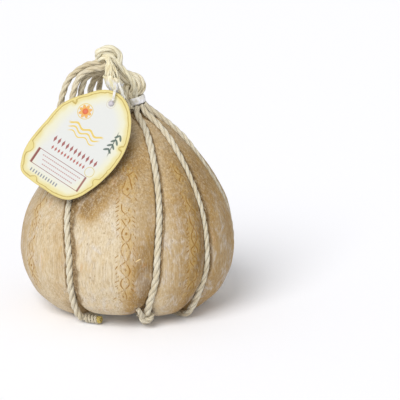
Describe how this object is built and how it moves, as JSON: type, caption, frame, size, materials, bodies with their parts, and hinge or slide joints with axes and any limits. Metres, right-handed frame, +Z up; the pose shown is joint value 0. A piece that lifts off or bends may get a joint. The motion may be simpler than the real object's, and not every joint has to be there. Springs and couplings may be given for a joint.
{
  "type": "provolone cheese",
  "caption": "Whole pear-shaped provolone cheese tied in a rope net, with hanging loops, a top knot and a plain card tag.",
  "frame": {"origin": "middle of the flat spot under the cheese, on the surface that it stands on", "axes": "+Z up from the base to the knot, -Y towards the side with the card tag, +X towards the side that the neck leans to"},
  "size_m": [0.2043, 0.2049, 0.2533],
  "materials": {
    "rind": "dry tan rind, matte with faint streaks",
    "rope": "three-strand natural fibre rope",
    "band": "white plastic strap, satin",
    "card": "cream printed card, matte",
    "button": "pale grey moulded plastic",
    "cut_rope": "cut rope end, yellowed"
  },
  "bodies": {
    "root": {"cheese": "rind", "rope_1": "rope", "rope_2": "rope", "rope_3": "rope", "rope_4": "rope", "rope_5": "rope", "rope_6": "rope", "rope_7": "rope", "rope_8": "rope", "base_ring": "rope", "neck_band": "band", "rope_bunch": "rope", "top_knot": "rope", "loop_outer": "rope", "loop_inner": "rope", "loop_back": "rope", "tail": "rope", "tag": "card", "tag_button": "button", "tag_tie": "band", "tie_leg": "band", "tie_collar": "band", "foot_wrap": "rope", "foot_cut_end": "cut_rope", "foot_hitch": "rope", "foot_stub": "rope"}
  },
  "joints": []
}
